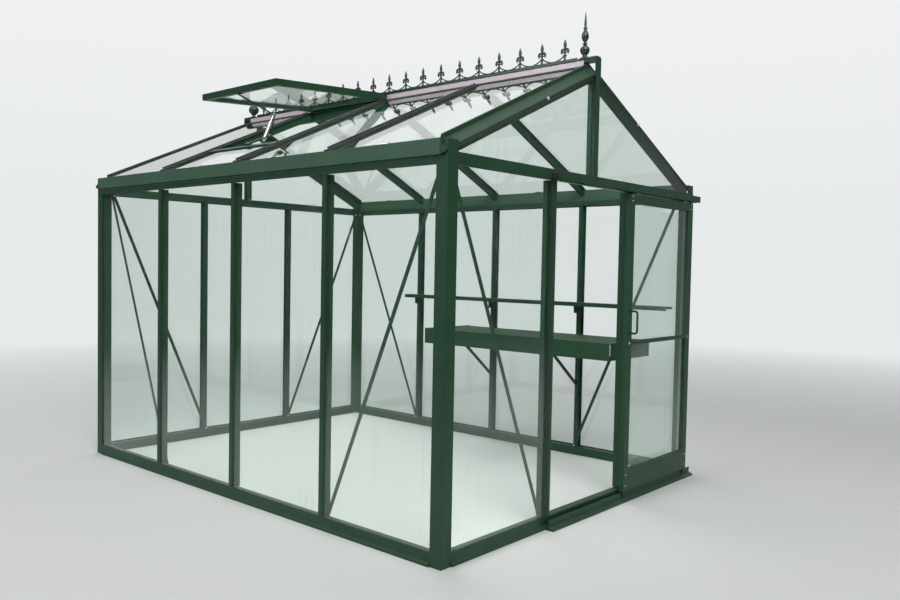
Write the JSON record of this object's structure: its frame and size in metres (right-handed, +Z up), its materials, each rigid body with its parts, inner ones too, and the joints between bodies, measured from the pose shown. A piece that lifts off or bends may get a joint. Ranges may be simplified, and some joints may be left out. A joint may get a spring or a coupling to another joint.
{
  "type": "glass greenhouse with a sliding door and an open roof vent",
  "caption": "Aluminium-framed glass greenhouse with a pitched roof, ridge cresting, a sliding gable door, an open roof vent, an inner bench and a shelf.",
  "frame": {"origin": "on the underside of the front sill, on the centre line of the door gable", "axes": "+X to the right along the door gable, +Y into the house along its length, +Z up"},
  "size_m": [2.325, 3.139, 2.5919],
  "materials": {
    "green_paint": "satin",
    "clear_glass": "gloss",
    "bare_metal": "satin",
    "black_plastic": "matte"
  },
  "bodies": {
    "house": {"corner_posts": "green_paint", "side_sills": "green_paint", "front_sill": "green_paint", "rear_sill": "green_paint", "side_mullions": "green_paint", "rear_mullions": "green_paint", "door_jambs": "green_paint", "eaves_beams": "green_paint", "gable_rails": "green_paint", "king_posts": "green_paint", "bargeboards": "green_paint", "rafters": "green_paint", "gutters": "green_paint", "ridge_beam": "green_paint", "ridge_cresting": "green_paint", "ridge_finials": "green_paint", "vent_frame": "green_paint", "vent_transom": "green_paint", "wall_braces": "green_paint", "bench_apron": "green_paint", "bench_slats": "green_paint", "bench_brackets": "green_paint", "wall_shelf": "green_paint", "shelf_brackets": "green_paint", "door_head_track": "green_paint", "door_floor_track": "green_paint", "gable_glass": "clear_glass", "roof_glass_right": "clear_glass", "roof_glass_left": "clear_glass", "wall_glass_left": "clear_glass", "wall_glass_right": "clear_glass", "wall_glass_rear": "clear_glass", "wall_glass_front": "clear_glass", "vent_glass": "clear_glass", "vent_opener": "bare_metal"},
    "door": {"door_stiles": "green_paint", "door_top_rail": "green_paint", "door_mid_rail": "green_paint", "door_kick_panel": "green_paint", "door_glass": "clear_glass", "door_handle": "green_paint", "door_runners": "bare_metal", "door_shoes": "black_plastic"}
  },
  "joints": [
    {"name": "door_slide", "type": "slide", "parent": "house", "child": "door", "axis": [-1, 0, 0], "range_m": [0, 0.685]}
  ]
}
